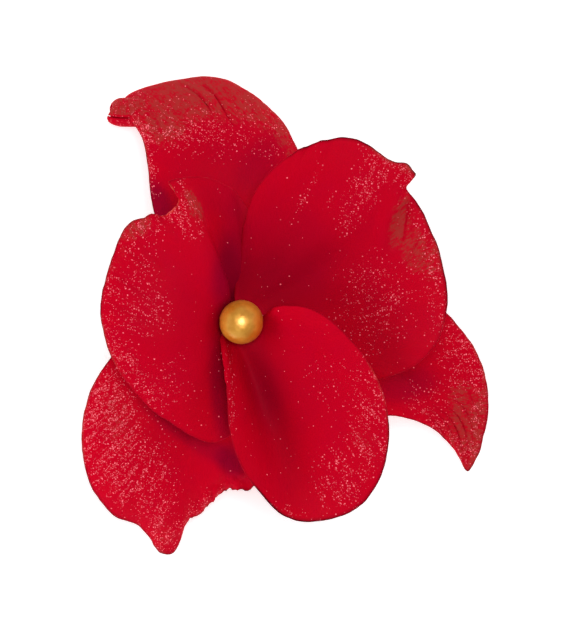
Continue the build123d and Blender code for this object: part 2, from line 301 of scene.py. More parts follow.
def pearl_material():
    n = Nodes("gold_pearl")
    place = n.place()
    swirl = n.noise(place, 420.0, 4.0, 0.6)
    colour = n.mix(n.ramp(swirl, 0.3, 0.7), (0.80, 0.32, 0.016), (0.96, 0.48, 0.055))
    grain = n.noise(place, 1500.0, 3.0, 0.7)
    n.shade(
        Base_Color=colour,
        Metallic=0.50,
        Roughness=n.ramp(swirl, 0.3, 0.7, 0.32, 0.44),
        Specular_IOR_Level=0.5,
        Coat_Weight=1.0,
        Coat_Roughness=0.30,
        Normal=n.bump(grain, 0.00008, 0.9),
    )
    return n.material


def felt_material():
    n = Nodes("red_felt")
    place = n.place()
    fibre = n.noise(n.stretch(place, (1.0, 0.35, 1.0)), 2600.0, 4.0, 0.75)
    cross = n.noise(n.stretch(place, (0.35, 1.0, 1.0)), 2400.0, 4.0, 0.75)
    tuft = n.math("MULTIPLY", fibre, cross)
    cloud = n.noise(place, 260.0, 3.0, 0.6)
    colour = n.mix(n.ramp(tuft, 0.12, 0.40), (0.14, 0.004, 0.010), (0.42, 0.014, 0.028))
    colour = n.mix(n.ramp(cloud, 0.4, 0.7, 0.0, 0.35), colour, (0.30, 0.02, 0.03))
    n.shade(
        Base_Color=colour,
        Roughness=0.95,
        Specular_IOR_Level=0.15,
        Sheen_Weight=0.5,
        Sheen_Roughness=0.6,
        Sheen_Tint=(1.0, 0.45, 0.42, 1.0),
        Normal=n.bump(tuft, 0.00030, 0.9),
    )
    return n.material


def glue_material():
    n = Nodes("hot_melt_glue")
    place = n.place()
    haze = n.noise(place, 300.0, 3.0, 0.5)
    ripple = n.noise(place, 520.0, 2.0, 0.4)
    n.shade(
        Base_Color=n.mix(haze, (0.78, 0.73, 0.58), (0.88, 0.85, 0.75)),
        Roughness=n.ramp(haze, 0.3, 0.7, 0.22, 0.36),
        Subsurface_Weight=0.6,
        Subsurface_Radius=(0.0015, 0.0012, 0.0009),
        Subsurface_Scale=1.0,
        Coat_Weight=0.3,
        Coat_Roughness=0.15,
        Normal=n.bump(ripple, 0.00012, 0.5),
    )
    return n.material


def steel_material(name, colour, rough, along=(0.12, 1.0, 1.0)):
    """Nickel-plated steel with rolling marks along the strip, small scuffs and dulled spots."""
    n = Nodes(name)
    place = n.place()
    rolled = n.noise(n.stretch(place, along), 3200.0, 3.0, 0.6)
    spots = n.noise(place, 330.0, 4.0, 0.6)
    scuff = n.noise(n.stretch(place, (0.3, 2.2, 1.0)), 900.0, 5.0, 0.75)
    scuff = n.ramp(scuff, 0.60, 0.66)
    dull = tuple(0.72 * c for c in colour)
    shade = n.mix(n.ramp(spots, 0.45, 0.75, 0.0, 0.6), colour, dull)
    lift = n.math("ADD", n.math("MULTIPLY", scuff, 0.16), n.ramp(rolled, 0.3, 0.7, -0.05, 0.07))
    lift = n.math("ADD", lift, n.ramp(spots, 0.4, 0.8, 0.0, 0.12))
    height = n.math("ADD", rolled, n.math("MULTIPLY", scuff, -0.8))
    n.shade(
        Base_Color=shade,
        Metallic=1.0,
        Roughness=n.math("ADD", lift, rough, clamp=True),
        Normal=n.bump(height, 0.000012, 0.6),
    )
    return n.material


# ---- meshes

def put(points):
    """Points in the flower's axes and millimetres, as places in the shared frame in metres."""
    points = np.asarray(points, float).reshape(-1, 3)
    return (points + np.array([AXIS[0], AXIS[1], 0.0])) * MM


def piece(name, verts, faces, material, body, nodes):
    """One visible piece, smooth-shaded. It rides on a body, unless body is None."""
    mesh = bpy.data.meshes.new(name)
    mesh.from_pydata(put(verts).tolist(), [], faces)
    mesh.validate()
    obj = bpy.data.objects.new(name, mesh)
    bpy.context.scene.collection.objects.link(obj)
    tidy = bmesh.new()
    tidy.from_mesh(mesh)
    bmesh.ops.recalc_face_normals(tidy, faces=tidy.faces)
    tidy.to_mesh(mesh)
    tidy.free()
    mesh.polygons.foreach_set("use_smooth", [True] * len(mesh.polygons))
    mesh.materials.append(material)
    if body:
        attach(obj, body)
    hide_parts(*nodes)
    return obj


def unit(vectors):
    length = np.linalg.norm(vectors, axis=-1, keepdims=True)
    return vectors / np.maximum(length, 1e-12)


def step(low, high, value):
    t = np.clip((value - low) / (high - low), 0, 1)
    return t * t * (3 - 2 * t)


def gradient_noise(x, y, seed):
    """Smooth noise, about -1 to 1, over the plane."""
    rng = np.random.default_rng(seed)
    order = rng.permutation(256)
    turn = rng.uniform(0, 2 * np.pi, 256)
    x, y = np.broadcast_arrays(np.asarray(x, float), np.asarray(y, float))
    i, j = np.floor(x).astype(int), np.floor(y).astype(int)
    u, v = x - i, y - j

    def corner(a, b):
        angle = turn[order[(order[(i + a) % 256] + j + b) % 256]]
        return np.cos(angle) * (u - a) + np.sin(angle) * (v - b)

    su, sv = u**3 * (u * (6 * u - 15) + 10), v**3 * (v * (6 * v - 15) + 10)
    low = corner(0, 0) * (1 - su) + corner(1, 0) * su
    high = corner(0, 1) * (1 - su) + corner(1, 1) * su
    return 1.5 * (low * (1 - sv) + high * sv)


def tube_faces(rows, around):
    """Faces between rows of points that each go once round, and one to close either end."""
    faces = [
        (i * around + j, i * around + (j + 1) % around,
         (i + 1) * around + (j + 1) % around, (i + 1) * around + j)
        for i in range(rows - 1)
        for j in range(around)
    ]
    faces.append(tuple(range(around)))
    faces.append(tuple((rows - 1) * around + j for j in range(around)))
    return faces


def revolve(profile, centre, axis, segments=96, wobble=0.0, seed=0):
    """A closed profile of (radius, height) turned round an axis, X or Z."""
    profile = np.asarray(profile, float)
    angle = np.linspace(0, 2 * np.pi, segments, endpoint=False)
    lump = gradient_noise(3 * np.cos(angle)[:, None] + 7, 3 * np.sin(angle)[:, None]
                          + profile[:, 1][None] * 0.6, seed)
    radius = profile[:, 0][None] * (1 + wobble * lump)
    a, b = radius * np.cos(angle)[:, None], radius * np.sin(angle)[:, None]
    h = np.broadcast_to(profile[:, 1][None], a.shape)
    points = np.stack([h, a, b] if axis == "X" else [a, b, h], -1) + np.array(centre)
    n, m = segments, len(profile)
    faces = [
        (i * m + j, ((i + 1) % n) * m + j, ((i + 1) % n) * m + (j + 1) % m, i * m + (j + 1) % m)
        for i in range(n)
        for j in range(m)
    ]
    return points.reshape(-1, 3), faces


# ---- petals

# Each rib: the point x, y, z on the margin, then how far the rib rises above its chord near
# the claw and near the margin, how far it sways sideways, how far its margin rolls, in
# degrees, and how far along its chord it is steered near the claw (0.33 if left out).
# The other entries are patches, each an ellipse x, y, half width, half height, turn, strength
# in plan, and creases, each a height, a half width and the points it runs through. claw is the
# part of the claw's circle that the petal starts from, in degrees, and claw_z its height. The
# flow lines fan out from focus, and calm is how far round the margin its turns are ironed out
# inside the petal (3 mm if left out).
# Two kinds of patch paint light into the clay's colour: the shade patches darken it where shade falls,
# and the sheen patches lay a painted dull sheen on it.
PETALS = {
    "petal_inner_lower": dict(
        claw=(205, 372), claw_z=19.2, seed=11, focus=(0, 4),
        ribs=[
            (-4.0, -3.4, 21.0), (-3.0, -8.0, 24.0, 2, 1), (-2.4, -14.2, 26.5, 2, 1),
            (-1.6, -21.5, 27.8, 1, 1), (1.3, -28.2, 27.6, 0, 1), (4.5, -32.0, 26.8, -3, 0),
            (8.2, -35.3, 25.6, -6, -2), (13.0, -36.2, 25.0, -6, -1), (21.6, -33.1, 25.5, -3, 3),
            (26.3, -24.0, 27.5, -1, 4), (26.0, -14.0, 29.5, 0, 3), (21.0, -4.6, 31.5, 1, 2),
            (13.0, 2.2, 31.0, 1, 2), (7.2, 3.0, 27.0, 1, 1), (4.9, 1.6, 22.0),
        ],
        glitter=[
            (23.4, -13.0, 2.8, 6.5, 12, 0.6), (22.7, -21.5, 3.6, 5.0, -20, 0.85),
            (17.7, -28.8, 4.2, 5.4, 0, 0.75), (8.8, -34.4, 4.0, 1.2, -15, 0.4),
            (-2.0, -14.0, 0.7, 9.0, 3, 0.35), (17.0, -12.0, 4.0, 7.0, 20, 0.12),
        ],
        dust=[(22.0, -21.0, 3.0, 3.0, 0, 0.35)],
        deep=[(3.0, -10.0, 3.4, 9.5, 14, 0.30), (5.4, -21.0, 4.4, 10.0, 14, 0.22),
              (10.0, -10.0, 7.5, 11.0, 30, 0.26)],
    ),
    "petal_inner_upper_right": dict(
        claw=(352, 470), claw_z=17.6, seed=12, focus=(6, -2),
        ribs=[
            (13.0, -9.5, 21.5), (26.0, -10.2, 24.5, -1, 1), (34.2, -5.4, 26.5, -2, 2),
            (37.2, 2.9, 27.3, -3, 2), (36.5, 9.8, 27.8, -3, 3), (33.7, 17.9, 28.4, -3, 3),
            (31.4, 22.2, 28.8, -3, 3), (29.8, 24.3, 30.2, -3, 3), (31.3, 26.7, 32.0, -3, 3),
            (30.4, 28.2, 32.2, -3, 3), (27.6, 28.8, 31.8, -2, 3), (22.8, 32.0, 30.9, -2, 2),
            (18.6, 33.2, 30.5, -2, 2), (11.2, 31.4, 30.0, -2, 1), (3.2, 24.6, 27.8, -2, 0),
            (0.0, 14.0, 21.6, -1, 0), (-1.2, 6.6, 17.9),
        ],
        creases=[
            (1.1, 1.3, [(29.4, 23.6), (27.2, 20.4), (25.9, 17.2), (25.6, 12.0)]),
            (-0.6, 1.4, [(30.6, 21.6), (28.8, 17.6), (28.4, 13.0)]),
            (-0.30, 0.42, [(30.3, 21.9), (29.8, 18.2), (29.2, 14.2)]),
            (-0.22, 0.40, [(32.2, 15.4), (31.2, 13.0), (29.6, 10.4)]),
            (-0.20, 0.40, [(34.2, 15.4), (33.5, 12.8), (32.4, 10.2)]),
            (-0.14, 0.35, [(31.2, 19.6), (31.0, 17.4), (30.6, 15.2)]),
        ],
        glitter=[
            (21.7, 23.1, 2.5, 6.2, -32, 0.95), (26.1, 28.6, 4.5, 2.2, -38, 0.85),
            (23.8, 3.4, 5.4, 7.4, 5, 0.48), (12.0, 23.7, 0.9, 4.6, -27, 0.55),
            (16.5, 22.4, 0.7, 2.0, -20, 0.4), (35.2, 6.5, 1.7, 9.0, 3, 0.55),
            (32.6, 17.0, 1.4, 6.0, 22, 0.5), (30.4, 27.0, 1.6, 1.8, 0, 0.9),
            (29.0, 5.0, 4.0, 7.0, 0, 0.10), (26.0, 28.0, 3.0, 4.0, 0, 0.15),
        ],
        dust=[
            (28.4, 18.4, 1.6, 4.6, -14, 1.1), (30.4, 15.2, 2.1, 4.6, 4, 0.60),
            (32.0, 12.2, 2.6, 3.8, 14, 0.52), (34.4, 11.0, 2.0, 4.6, 8, 0.45),
            (30.0, 27.6, 1.8, 1.2, -20, 0.6),
        ],
        crumple=[(11.5, 32.0, 5.0, 2.0, 10, 0.7), (30.5, 27.2, 2.5, 2.2, 0, 0.6)],
        deep=[(0.8, 10.0, 7.2, 13.0, 2, 0.12), (0.0, 11.0, 1.8, 9.0, -4, 0.12),
              (6.0, 11.0, 10.0, 12.0, 0, 0.27),
              (10.0, 5.0, 9.0, 7.0, -20, 0.14), (20.0, 14.0, 12.0, 14.0, 0, 0.22),
              (24.0, -6.0, 8.0, 3.0, -30, 0.15)],
    ),
    "petal_inner_left": dict(
        claw=(80, 265), claw_z=15.6, seed=13, focus=(0, -9.2), calm=2.0,
        ribs=[
            (4.6, 12.0, 18.4), (2.6, 17.0, 20.6, 1.5, 1), (0.6, 21.4, 23.4, 2.2, 2),
            (-1.7, 24.0, 25.4, 2.5, 2), (-4.8, 25.7, 27.4, 2.5, 2), (-7.6, 26.2, 29.0, 3, 1),
            (-10.4, 26.0, 30.8, 4, 1, -1, 0, 0.33), (-13.0, 25.1, 32.0, 8, 4, -3, 0, 0.18),
            (-11.3, 22.4, 31.2, 12, 5, -3, 0, 0.06), (-12.7, 19.7, 30.0, 14, 6, -3, 0, 0.04),
            (-15.8, 19.4, 28.8, 15, 6, -2, 0, 0.03), (-20.2, 17.8, 27.0, 15, 6, -1, 0, 0.03),
            (-23.6, 10.6, 26.0, 15, 6, 0, 0, 0.03), (-25.4, 1.0, 25.0, 14, 6, 0, 0, 0.03),
            (-24.3, -4.6, 24.5, 13, 6, 0, 0, 0.04), (-22.5, -8.4, 24.0, 12, 5, 0, 0, 0.05),
            (-14.0, -17.6, 21.5, 7, 4, 0, 0, 0.15), (-4.0, -21.8, 19.0, 2, 2), (0.5, -19.0, 18.2, 0, 1),
        ],
        creases=[
            (-0.16, 0.45, [(-21.5, 14.2), (-19.0, 11.8), (-16.0, 9.2)]),
            (-0.14, 0.45, [(-23.2, 9.0), (-20.0, 6.6), (-16.0, 3.8)]),
            (-0.13, 0.45, [(-24.2, 4.2), (-20.0, 1.6), (-14.8, -1.2)]),
            (-0.12, 0.40, [(-19.0, 15.8), (-16.4, 12.2), (-13.8, 9.0)]),
            (-0.10, 0.40, [(-22.6, -2.4), (-19.6, -5.6), (-17.0, -10.0)]),
        ],
        glitter=[
            (-19.6, 4.0, 4.4, 10.5, -6, 0.38), (-15.2, 3.6, 2.4, 5.0, 20, 0.50),
            (-11.9, 21.2, 2.6, 3.4, 0, 1.3), (-9.4, 18.2, 1.4, 4.0, 25, 0.6),
            (-18.4, 16.8, 5.0, 2.4, 32, 0.6), (-19.6, -8.6, 2.0, 8.0, 40, 0.7),
            (-13.9, -11.0, 4.0, 5.0, 0, 0.25), (-24.2, 4.0, 1.0, 9.0, -4, 0.5),
        ],
        dust=[
            (-8.7, 21.0, 1.1, 3.2, 24, 1.2), (-18.6, 17.0, 3.0, 1.9, 30, 1.0),
            (-22.0, 12.0, 1.2, 4.0, -20, 0.4),
        ],
        crumple=[(-13.5, 21.0, 4.5, 3.6, 0, 1.0)],
        deep=[(-2.4, 7.2, 2.9, 8.4, -3, 0.48), (-0.2, 13.0, 4.9, 10.0, -10, 0.42),
              (-3.4, -13.5, 2.5, 10.0, 6, 0.85), (-3.6, 22.6, 5.0, 3.4, -20, 0.30),
              (-12.5, 3.0, 9.0, 15.0, 0, 0.23)],
    ),
    "petal_outer_upper_left": dict(
        claw=(42, 160), claw_z=13.2, seed=14, focus=(17.7, 19.3),
        ribs=[
            (12.0, 17.0, 16.0, 1, 1), (11.9, 26.6, 13.6, 4, 4, -1), (8.2, 35.0, 11.0, 6, 7, -2, 20),
            (2.3, 41.3, 7.3, 8, 10, -3, 70), (-5.2, 44.8, 5.0, 9, 12, -5, 140),
            (-14.0, 43.6, 4.4, 9, 12, -7, 190), (-21.6, 41.0, 5.6, 8, 11, -9, 150),
            (-20.2, 38.0, 8.0, 7, 9, -8, 60), (-18.3, 34.0, 10.6, 5, 7, -6),
            (-17.3, 29.0, 12.8, 4, 4, -4), (-16.4, 21.6, 14.6, 3, 3, -2), (-13.5, 13.0, 15.0, 1, 1),
        ],
        creases=[
            (-0.32, 0.34, [(-11.6, 44.0), (-8.6, 42.2), (-6.4, 39.9), (-5.2, 37.6)]),
            (-0.34, 0.38, [(-7.6, 43.7), (-5.2, 41.7), (-3.2, 38.6), (-1.6, 35.8)]),
            (-0.13, 0.60, [(-1.2, 43.0), (1.6, 39.8), (2.6, 36.0)]),
            (-0.11, 0.65, [(-16.5, 41.9), (-12.4, 38.9), (-9.4, 34.6)]),
            (-0.12, 0.50, [(-19.2, 40.6), (-16.2, 37.9), (-14.6, 33.8)]),
            (-0.09, 0.40, [(-4.4, 43.4), (-2.2, 41.4), (-0.9, 39.4)]),
            (-0.10, 0.45, [(-13.6, 42.6), (-11.2, 41.0), (-9.6, 38.6)]),
            (-0.08, 0.40, [(3.6, 40.6), (5.2, 37.0), (5.4, 33.6)]),
            (0.20, 0.60, [(-9.4, 43.6), (-6.6, 41.4), (-4.0, 38.4)]),
        ],
        glitter=[
            (-4.8, 33.6, 10.5, 3.4, -4, 0.32), (-18.0, 34.0, 1.5, 8.0, 10, 1.25),
            (-16.6, 26.0, 0.8, 5.0, 6, 0.7), (-9.5, 36.5, 8.0, 4.0, -8, 0.35),
            (4.5, 36.5, 5.0, 5.0, 0, 0.3), (-12.4, 33.5, 3.0, 3.0, 0, 0.45),
        ],
        dust=[
            (-14.2, 39.6, 7.0, 5.6, 8, 0.9), (-4.4, 42.2, 8.0, 5.4, -18, 0.9),
            (4.4, 39.0, 5.4, 3.8, -48, 0.8), (-14.0, 35.0, 3.0, 3.0, 0, 0.6),
            (8.0, 33.0, 1.6, 3.6, 20, 0.7),
        ],
        deep=[(0.0, 27.0, 14.0, 8.5, 0, 0.36), (3.0, 29.0, 3.0, 7.0, -35, 0.22),
              (-15.0, 21.0, 2.4, 5.0, 20, 0.9)],
    ),
    "petal_outer_lower_left": dict(
        claw=(165, 284), claw_z=13.2, seed=15, focus=(-4, -4),
        ribs=[
            (-16.0, 2.0, 15.5, 1, 1), (-23.2, -5.4, 16.5, 2, 2), (-27.8, -13.0, 14.5, 3, 4),
            (-29.4, -22.2, 11.5, 5, 7), (-26.8, -32.2, 8.0, 7, 9), (-22.9, -36.3, 6.2, 7, 9),
            (-19.4, -37.7, 4.5, 7, 10, -1), (-17.4, -39.7, 3.0, 7, 11, -1),
            (-15.2, -43.1, 1.2, 7, 11, -2), (-13.4, -43.2, 1.0, 7, 11, -2),
            (-11.4, -39.9, 2.8, 7, 10, -2), (-11.0, -38.0, 4.0, 7, 9, -1), (-9.0, -35.8, 5.6, 6, 8, -1),
            (-7.9, -35.5, 6.0, 6, 8), (-6.4, -34.2, 6.8, 6, 7), (-4.1, -31.9, 7.8, 6, 7),
            (-2.9, -31.6, 8.3, 5, 6), (-1.9, -30.6, 8.8, 5, 6), (1.1, -31.2, 9.2, 4, 6),
            (3.5, -29.2, 10.0, 4, 5), (6.0, -20.0, 11.5, 2, 3),
        ],
        creases=[(0.30, 0.80, [(-14.2, -40.0), (-10.4, -36.6), (-6.0, -31.6), (-1.0, -28.4)])],
        glitter=[
            (-23.4, -19.6, 4.4, 9.0, 8, 1.5), (-17.0, -30.0, 5.0, 6.0, 0, 0.65),
            (-14.4, -37.9, 2.6, 5.0, 0, 0.9), (-8.0, -34.0, 4.0, 1.3, 42, 1.0),
            (-23.0, -30.0, 4.0, 3.0, -40, 0.6), (-21.0, -21.0, 7.0, 12.0, 8, 0.20),
            (-27.6, -18.0, 1.2, 8.0, -8, 0.9),
        ],
        dust=[(-22.8, -18.0, 3.2, 6.4, 8, 0.5), (-14.6, -38.6, 2.2, 4.0, 0, 0.4)],
        crumple=[(-4.0, -31.4, 9.0, 3.0, 34, 1.7), (-14.0, -41.0, 3.0, 2.0, 0, 0.5)],
        deep=[(-9.0, -21.0, 11.0, 2.2, -34, 0.6), (-1.5, -25.0, 3.0, 4.0, 0, 0.6)],
    ),
    "petal_outer_lower_right": dict(
        claw=(287, 392), claw_z=13.2, seed=16, focus=(8, -8),
        ribs=[
            (9.5, -18.0, 12.8, 1, 1), (18.0, -19.0, 11.8, 3, 3, 1), (27.0, -17.2, 11.5, 4, 5, 2),
            (34.6, -19.4, 8.5, 6, 8, 6), (39.4, -23.9, 3.5, 7, 10, 9), (42.2, -27.8, 0.8, 7, 11, 11),
            (43.5, -25.6, 1.8, 7, 11, 10), (44.8, -20.6, 4.4, 7, 10, 8), (45.3, -12.6, 8.5, 6, 8, 5),
            (42.3, -4.2, 12.5, 5, 6, 2), (37.0, 2.0, 14.5, 3, 4), (28.0, 7.0, 15.5, 2, 2),
            (17.0, 9.0, 15.5, 1, 1),
        ],
        creases=[
            (-0.32, 0.36, [(35.2, -15.4), (37.8, -17.1), (39.6, -19.8), (40.6, -23.0), (41.2, -26.4)]),
            (-0.32, 0.36, [(37.0, -15.0), (39.4, -16.9), (41.0, -19.6), (41.7, -23.0), (41.8, -26.4)]),
            (-0.26, 0.34, [(33.6, -15.6), (36.8, -17.7), (38.8, -20.6), (40.0, -23.8)]),
            (-0.24, 0.34, [(38.6, -13.6), (41.0, -16.0), (42.4, -19.6), (42.7, -24.0)]),
            (-0.18, 0.32, [(41.4, -12.6), (43.2, -16.6), (43.6, -21.0)]),
            (-0.20, 0.34, [(32.4, -16.0), (35.4, -18.2), (37.6, -20.8)]),
        ],
        glitter=[
            (39.4, -8.0, 3.4, 6.0, 18, 0.75), (43.6, -12.6, 1.3, 10.0, -2, 1.0),
            (36.2, -18.9, 5.0, 1.4, -38, 0.9), (41.4, -24.0, 1.8, 3.4, 10, 0.9),
            (34.0, -14.0, 4.0, 3.0, 0, 0.4), (40.4, -2.6, 3.0, 5.0, 35, 0.5),
        ],
        dust=[
            (40.8, -15.8, 2.9, 5.6, 10, 0.85), (39.4, -20.6, 2.6, 3.8, 20, 0.6),
            (44.0, -17.0, 1.1, 8.0, -4, 0.8), (41.8, -23.6, 1.6, 3.6, -10, 0.8),
        ],
        crumple=[(41.0, -24.0, 3.0, 4.0, 0, 0.4)],
        deep=[(30.0, -11.5, 6.5, 3.4, 12, 0.6)],
    ),
}
CLAW_RADIUS = 3.75  # of the circle that the petals start from
CURL_RADIUS = 2.3  # of a rolled margin
RIB_IN, RIB_OUT = 0.33, 0.72  # where along its chord a rib is steered
RIBS, STATIONS = 240, 84
EVEN_END = 0.45  # how far from the margin the even stations stop
EDGE_STEPS = np.array([0.30, 0.16, 0.07, 0.02, 0.0])  # the other stations, from the margin
DETAIL_BAND = 9.0  # how far in from the margin its detail reaches
HALF_THICK, HALF_EDGE = 0.42, 0.20
EDGE_ROUND = 0.30  # how far in the rounding of the edge reaches
WELL_INSIDE = 99.0


def smooth(knots, values, at):
    """A cubic Hermite curve through values at knots, read at the places in at."""
    gap = np.diff(knots)
    secant = np.diff(values, axis=0) / gap[:, None]
    slope = np.empty_like(values)
    slope[0], slope[-1] = secant[0], secant[-1]
    share = (gap[:-1] / (gap[:-1] + gap[1:]))[:, None]
    slope[1:-1] = secant[:-1] * (1 - share) + secant[1:] * share
    i = np.clip(np.searchsorted(knots, at, side="right") - 1, 0, len(gap) - 1)
    h = gap[i][:, None]
    t = ((at - knots[i]) / gap[i])[:, None]
    start = values[i] * (1 + 2 * t) * (1 - t) ** 2 + slope[i] * h * t * (1 - t) ** 2
    end = values[i + 1] * t**2 * (3 - 2 * t) + slope[i + 1] * h * t**2 * (t - 1)
    return start + end


def patches(spots, x, y):
    """How strongly the places x, y lie in the patches, each an ellipse with a soft rim."""
    total = np.zeros(np.shape(x))
    for cx, cy, half_width, half_height, turn, strength in spots:
        c, s = math.cos(math.radians(turn)), math.sin(math.radians(turn))
        u = ((x - cx) * c + (y - cy) * s) / half_width
        v = ((y - cy) * c - (x - cx) * s) / half_height
        total += strength * np.exp(-0.8 * (u * u + v * v) ** 1.8)
    return total


def crease_lines(creases, x, y):
    """The height that the creases add at the places x, y, and how much of that is grooves."""
    height, groove = np.zeros(np.shape(x)), np.zeros(np.shape(x))
    for depth, half_width, points in creases:
        line = np.array(points, float)
        knots = np.linspace(0, 1, len(line))
        at = np.linspace(0, 1, 25)
        path = smooth(knots, line, at)
        nearest, where = np.full(np.shape(x), 1e9), np.zeros(np.shape(x))
        for i in range(len(path) - 1):
            ax, ay = path[i]
            dx, dy = path[i + 1] - path[i]
            t = np.clip(((x - ax) * dx + (y - ay) * dy) / (dx * dx + dy * dy), 0, 1)
            away = np.hypot(x - ax - t * dx, y - ay - t * dy)
            closer = away < nearest
            nearest = np.where(closer, away, nearest)
            where = np.where(closer, (i + t) / (len(path) - 1), where)
        fade = np.sqrt(np.clip(4 * where * (1 - where), 0, 1))
        share = np.exp(-((nearest / half_width) ** 2)) * fade
        height += depth * share
        if half_width < 1:
            groove += share * min(1, max(0, -3.2 * depth))
    return height, np.clip(groove, 0, 1)


def blurred(knots, table, across, width):
    """The same curve with its quick turns ironed out, which the inside of the petal follows."""
    fine = np.linspace(0, 1, 401)
    rows = smooth(knots, table, fine)
    reach = 60
    before = 2 * rows[0] - rows[reach:0:-1]
    after = 2 * rows[-1] - rows[-2:-reach - 2:-1]
    rows = np.concatenate([before, rows, after])
    weight = np.exp(-0.5 * (np.arange(-reach, reach + 1) / (width * 400)) ** 2)
    weight /= weight.sum()
    rows = np.stack([np.convolve(column, weight, "valid") for column in rows.T], 1)
    return np.stack([np.interp(across, fine, column) for column in rows.T], 1)


def rib_table(ribs):
    """The ribs as rows of eight numbers, with what they leave out filled in."""
    left_out = [0, 0, 0, 0, RIB_IN]
    return np.array([list(rib) + left_out[len(rib) - 3:] for rib in ribs], float)


def hand_cut(spec, rows, across, round_mm):
    """How far the margin strays outwards and upwards, being hand-cut and slightly ruffled.
    Each line is a distance times a noise of one wavelength, both in millimetres."""
    seed = spec["seed"]
    free = step(0, 0.05, across) * step(0, 0.05, 1 - across)
    crumpled = patches(spec.get("crumple", []), rows[:, 0], rows[:, 1])
    ragged = 0.16 * gradient_noise(round_mm / 4.1, 0.5, seed)
    ragged += 0.07 * gradient_noise(round_mm / 1.5, 0.5, seed + 50)
    ragged += 0.55 * crumpled * gradient_noise(round_mm / 2.0, 0.5, seed + 60)
    ragged += 0.22 * crumpled * gradient_noise(round_mm / 0.8, 0.5, seed + 70)
    ripple = 0.40 * gradient_noise(round_mm / 7.5, 0.5, seed + 100)
    ripple += 0.14 * gradient_noise(round_mm / 2.6, 0.5, seed + 150)
    ripple += 0.7 * crumpled * gradient_noise(round_mm / 1.9, 0.5, seed + 160)
    return (ragged * free)[:, None], (ripple * free)[:, None]


def petal_surface(spec):
    """The middle surface, [rib][station][xyz], with how far each point is along its rib, from
    0 to 1 and in millimetres."""
    table = rib_table(spec["ribs"])
    gaps = np.linalg.norm(np.diff(table[:, :3], axis=0), axis=1)
    knots = np.concatenate([[0], np.cumsum(gaps)]) / gaps.sum()
    inner = np.linspace(0, 1, RIBS)
    near_side = np.array([0.0006, 0.0015, 0.003])
    across = np.sort(np.concatenate([inner, near_side, 1 - near_side]))
    rows = smooth(knots, table, across)
    ragged, ripple = hand_cut(spec, rows, across, across * gaps.sum())
    calm = blurred(knots, table, across, spec.get("calm", 3.0) / gaps.sum())
    angle = np.radians(spec["claw"][0] + (spec["claw"][1] - spec["claw"][0]) * across)
    claw = np.stack([CLAW_RADIUS * np.cos(angle), CLAW_RADIUS * np.sin(angle),
                     0 * angle + spec["claw_z"]], 1)
    margin = calm[:, :3]
    outward = unit((margin - claw) * np.array([1, 1, 0]))
    detail = rows[:, :3] - margin
    detail += outward * ragged + UP * ripple
    # Each rib is a cubic curve from the claw to where its margin starts to roll.
    lift_in, lift_out, sway = calm[:, 3:4], calm[:, 4:5], calm[:, 5:6]
    chord = margin - claw
    side = np.stack([-outward[:, 1], outward[:, 0], 0 * angle], 1)
    near = claw + calm[:, 7:8] * chord + lift_in * UP + sway * side
    far = claw + RIB_OUT * chord + lift_out * UP + sway * side
    ahead = unit(margin - far)
    level = np.linalg.norm(ahead[:, :2], axis=1)
    down = np.stack([ahead[:, 0] * ahead[:, 2] / level, ahead[:, 1] * ahead[:, 2] / level,
                     -level], 1)
    curl = np.radians(np.clip(calm[:, 6], 0, None))
    length = np.linalg.norm(chord, axis=1) + CURL_RADIUS * curl
    flat_share = 1 - CURL_RADIUS * curl / length
    even = np.linspace(0, 1, STATIONS, endpoint=False)
    reach = np.concatenate([
        even[None] * (1 - EVEN_END / length[:, None]),
        1 - EDGE_STEPS[None] / length[:, None],
    ], 1)
    u = np.clip(reach / flat_share[:, None], 0, 1)[..., None]
    grid = claw[:, None] * (1 - u) ** 3 + 3 * near[:, None] * u * (1 - u) ** 2
    grid = grid + 3 * far[:, None] * u**2 * (1 - u) + margin[:, None] * u**3
    past = (reach - flat_share[:, None]) / np.maximum(1 - flat_share, 1e-9)[:, None]
    rolled = np.clip(past, 0, 1) * curl[:, None]
    tighter = CURL_RADIUS * (1 - 0.10 * np.clip(past, 0, 1))
    grid = grid + (tighter * np.sin(rolled))[..., None] * ahead[:, None]
    grid = grid + (tighter * (1 - np.cos(rolled)))[..., None] * down[:, None]
    near_margin = np.clip(1 - (1 - reach) * length[:, None] / DETAIL_BAND, 0, 1) ** 2
    grid = grid + near_margin[..., None] * detail[:, None]
    return grid, reach, reach * length[:, None]


def surface_normal(grid):
    normal = unit(np.cross(np.gradient(grid, axis=1), np.gradient(grid, axis=0)))
    return normal if normal[..., 2].mean() > 0 else -normal


def wrinkle(spec, grid, reach, flow):
    """How far the surface stands off its smooth shape, in millimetres: hand-made unevenness
    all over, and fine lines that follow the flow near the margin. Each line is a height times
    a noise of the wavelengths given, all in millimetres."""
    seed = spec["seed"]
    x, y = grid[..., 0], grid[..., 1]
    outer = step(0.55, 1.0, reach)
    free = step(0.12, 0.45, reach)
    across, along = flow
    height = 0.22 * gradient_noise(x / 11, y / 11, seed + 5) * free
    height += 0.05 * gradient_noise(x / 3.1, y / 3.1, seed + 6) * free
    height += 0.07 * gradient_noise(across / 2.2, along / 14, seed + 1) * outer
    height += 0.03 * gradient_noise(across / 0.95, along / 8, seed + 4) * outer
    height += 0.018 * gradient_noise(x / 0.9, y / 0.9, seed + 8) * free
    crumpled = patches(spec.get("crumple", []), x, y) * step(0.75, 0.95, reach)
    height += 0.24 * crumpled * gradient_noise(x / 1.5, y / 1.5, seed + 9)
    height += 0.12 * crumpled * gradient_noise(x / 0.7, y / 0.7, seed + 10)
    return height


